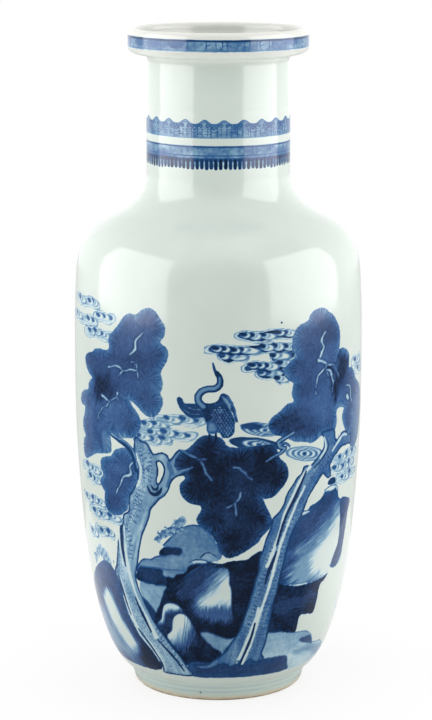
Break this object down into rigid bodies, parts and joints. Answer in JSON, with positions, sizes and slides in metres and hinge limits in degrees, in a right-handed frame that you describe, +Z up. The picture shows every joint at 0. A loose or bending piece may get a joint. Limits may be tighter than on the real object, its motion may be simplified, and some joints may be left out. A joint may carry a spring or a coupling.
{
  "type": "rouleau vase",
  "caption": "Tall blue-and-white porcelain vase with a near-cylindrical body, sloping shoulder, straight neck, dished mouth and turned foot, for display or cut stems.",
  "frame": {"origin": "centre of the circle that the foot stands on", "axes": "+Z up along the axis of the vase, -Y towards the side shown in the picture, +X to the right"},
  "size_m": [0.1998, 0.1996, 0.46],
  "materials": {
    "glazed_porcelain": "glossy clear glaze, faintly green, over cobalt-blue painting on white porcelain",
    "foot_porcelain": "glazed on its sides, bare and tinged orange-brown on the standing edge"
  },
  "bodies": {
    "root": {"foot_ring": "foot_porcelain", "base_plate": "glazed_porcelain", "lower_body": "glazed_porcelain", "middle_body": "glazed_porcelain", "upper_body": "glazed_porcelain", "shoulder": "glazed_porcelain", "lower_neck": "glazed_porcelain", "upper_neck": "glazed_porcelain", "mouth_rim": "glazed_porcelain"}
  },
  "joints": []
}
